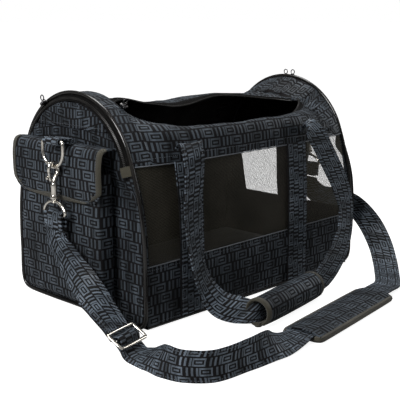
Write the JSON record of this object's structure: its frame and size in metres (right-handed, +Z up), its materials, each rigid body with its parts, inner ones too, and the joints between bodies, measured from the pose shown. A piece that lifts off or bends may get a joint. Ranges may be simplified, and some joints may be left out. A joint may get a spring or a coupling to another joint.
{
  "type": "pet carrier bag",
  "caption": "Soft-sided duffel pet carrier with arched ends, mesh windows, open slit top, end zip doors, flap pocket, carry handles and padded shoulder strap.",
  "frame": {"origin": "middle of the base's underside, on the floor", "axes": "+X along the bag's length towards the plain mesh end, -Y the front wall, +Z up"},
  "size_m": [0.5904, 0.5711, 0.3136],
  "materials": {
    "jacquard": "dark padded jacquard with a raised silky fret pattern",
    "mesh": "open black netting",
    "lining": "thin smooth lining",
    "fleece": "short matt pile",
    "binding": "matt ribbed binding tape",
    "piping": "glossy vinyl piping",
    "zip": "coil zip on woven tape",
    "gunmetal": "dark plated die-cast metal",
    "nickel": "bright nickel plate"
  },
  "bodies": {
    "shell": {"bottom_panel": "jacquard", "base_board": "lining", "floor_mat": "fleece", "front_lower_panel": "jacquard", "front_mesh": "mesh", "front_webbing_left": "jacquard", "front_webbing_right": "jacquard", "front_top_panel": "jacquard", "back_lower_panel": "jacquard", "back_middle_panel": "jacquard", "back_webbing_left": "jacquard", "back_webbing_right": "jacquard", "back_top_panel": "jacquard", "top_zip_front": "zip", "top_zip_back": "zip", "left_end_panel": "jacquard", "left_end_zip": "zip", "left_piping": "piping", "right_end_lower_panel": "jacquard", "right_end_mesh": "mesh", "right_end_upper_panel": "jacquard", "right_end_webbing": "jacquard", "right_end_zip": "zip", "right_piping": "piping", "pocket_body": "jacquard", "right_ring_tab": "jacquard", "strap_drop": "jacquard", "strap_floor": "jacquard", "strap_rise": "jacquard"},
    "left_door": {"left_door": "jacquard"},
    "right_door": {"right_door": "jacquard"},
    "pocket_flap": {"pocket_flap": "jacquard", "left_ring_tab": "jacquard"},
    "left_ring": {"left_d_ring": "nickel"},
    "left_hook": {"left_hook": "nickel"},
    "left_gate": {"left_hook_gate": "nickel"},
    "left_swivel": {"left_swivel": "nickel", "strap_end_left": "jacquard"},
    "right_ring": {"right_d_ring": "nickel"},
    "right_hook": {"right_hook": "nickel"},
    "right_gate": {"right_hook_gate": "nickel"},
    "right_swivel": {"right_swivel": "nickel", "strap_end_right": "jacquard"},
    "adjuster": {"strap_slider": "nickel"},
    "shoulder_pad": {"shoulder_pad": "binding", "pad_cover": "jacquard"},
    "top_slider": {"top_zip_slider": "gunmetal"},
    "top_pull": {"top_zip_pull": "gunmetal"},
    "left_slider": {"left_zip_slider": "gunmetal"},
    "left_pull": {"left_zip_pull": "gunmetal"},
    "right_slider_front": {"right_zip_front_slider": "gunmetal"},
    "right_pull_front": {"right_zip_front_pull": "gunmetal"},
    "right_slider_back": {"right_zip_back_slider": "gunmetal"},
    "right_pull_back": {"right_zip_back_pull": "gunmetal"},
    "front_handle": {"front_handle_left": "jacquard", "front_handle_right": "jacquard", "front_grip": "jacquard"},
    "back_handle": {"back_handle_left": "jacquard", "back_handle_right": "jacquard", "back_grip": "jacquard"}
  },
  "joints": [
    {"name": "left_door_fold", "type": "hinge", "parent": "shell", "child": "left_door", "pos_m": [-0.2325, 0, 0.254], "axis": [0, -1, 0], "range_deg": [0, 40]},
    {"name": "right_door_fold", "type": "hinge", "parent": "shell", "child": "right_door", "pos_m": [0.2425, 0, 0.254], "axis": [0, 1, 0], "range_deg": [0, 90]},
    {"name": "pocket_flap_lift", "type": "hinge", "parent": "shell", "child": "pocket_flap", "pos_m": [-0.2334, 0, 0.235], "axis": [0, 1, 0], "range_deg": [0, 45]},
    {"name": "left_ring_swing", "type": "hinge", "parent": "pocket_flap", "child": "left_ring", "pos_m": [-0.271, -0.015, 0.242], "axis": [0, 1, 0], "range_deg": [0, 100]},
    {"name": "left_hook_swing", "type": "hinge", "parent": "left_ring", "child": "left_hook", "pos_m": [-0.271, -0.015, 0.2082], "axis": [1, 0, 0], "range_deg": [-20, 20]},
    {"name": "left_gate_press", "type": "hinge", "parent": "left_hook", "child": "left_gate", "pos_m": [-0.2762, -0.015, 0.1902], "axis": [0, 1, 0], "range_deg": [0, 20], "stiffness_Nm_per_rad": 0.05, "springref_deg": -11.46},
    {"name": "left_swivel_turn", "type": "hinge", "parent": "left_hook", "child": "left_swivel", "pos_m": [-0.271, -0.015, 0.16], "axis": [0, 0, 1], "range_deg": [-20, 20]},
    {"name": "right_ring_swing", "type": "hinge", "parent": "shell", "child": "right_ring", "pos_m": [0.271, -0.015, 0.242], "axis": [0, -1, 0], "range_deg": [0, 100]},
    {"name": "right_hook_swing", "type": "hinge", "parent": "right_ring", "child": "right_hook", "pos_m": [0.271, -0.015, 0.2082], "axis": [1, 0, 0], "range_deg": [-20, 20]},
    {"name": "right_gate_press", "type": "hinge", "parent": "right_hook", "child": "right_gate", "pos_m": [0.2762, -0.015, 0.1902], "axis": [0, -1, 0], "range_deg": [0, 20], "stiffness_Nm_per_rad": 0.05, "springref_deg": -11.46},
    {"name": "right_swivel_turn", "type": "hinge", "parent": "right_hook", "child": "right_swivel", "pos_m": [0.271, -0.015, 0.16], "axis": [0, 0, 1], "range_deg": [-20, 20]},
    {"name": "adjuster_shift", "type": "slide", "parent": "shell", "child": "adjuster", "axis": [0.0608, 0.8741, 0.4819], "range_m": [0, 0.01]},
    {"name": "pad_shift", "type": "slide", "parent": "shell", "child": "shoulder_pad", "axis": [0.9914, 0.1305, 0], "range_m": [-0.006, 0.02]},
    {"name": "top_zip_run", "type": "slide", "parent": "shell", "child": "top_slider", "axis": [1, 0, 0], "range_m": [0, 0.355]},
    {"name": "top_pull_swing", "type": "hinge", "parent": "top_slider", "child": "top_pull", "pos_m": [-0.193, -0.0676, 0.2879], "axis": [1, 0, 0], "range_deg": [-60, 60]},
    {"name": "left_zip_run", "type": "hinge", "parent": "shell", "child": "left_slider", "pos_m": [-0.23, 0, 0.181], "axis": [1, 0, 0], "range_deg": [-36, 98]},
    {"name": "left_pull_swing", "type": "hinge", "parent": "left_slider", "child": "left_pull", "pos_m": [-0.23, 0.0605, 0.2858], "axis": [0, 0.866, -0.5], "range_deg": [-60, 60]},
    {"name": "right_zip_front_run", "type": "hinge", "parent": "shell", "child": "right_slider_front", "pos_m": [0.23, 0, 0.181], "axis": [1, 0, 0], "range_deg": [0, 64]},
    {"name": "right_pull_front_swing", "type": "hinge", "parent": "right_slider_front", "child": "right_pull_front", "pos_m": [0.23, -0.0072, 0.3018], "axis": [0, 1, 0], "range_deg": [-60, 60]},
    {"name": "right_zip_back_run", "type": "hinge", "parent": "shell", "child": "right_slider_back", "pos_m": [0.23, 0, 0.181], "axis": [-1, 0, 0], "range_deg": [0, 64]},
    {"name": "right_pull_back_swing", "type": "hinge", "parent": "right_slider_back", "child": "right_pull_back", "pos_m": [0.23, 0.0072, 0.3018], "axis": [0, 1, 0], "range_deg": [-60, 60]},
    {"name": "front_handle_lift", "type": "hinge", "parent": "shell", "child": "front_handle", "pos_m": [0, -0.15, 0.242], "axis": [-1, 0, 0], "range_deg": [0, 160]},
    {"name": "back_handle_lift", "type": "hinge", "parent": "shell", "child": "back_handle", "pos_m": [0, 0.15, 0.242], "axis": [1, 0, 0], "range_deg": [0, 160]}
  ]
}
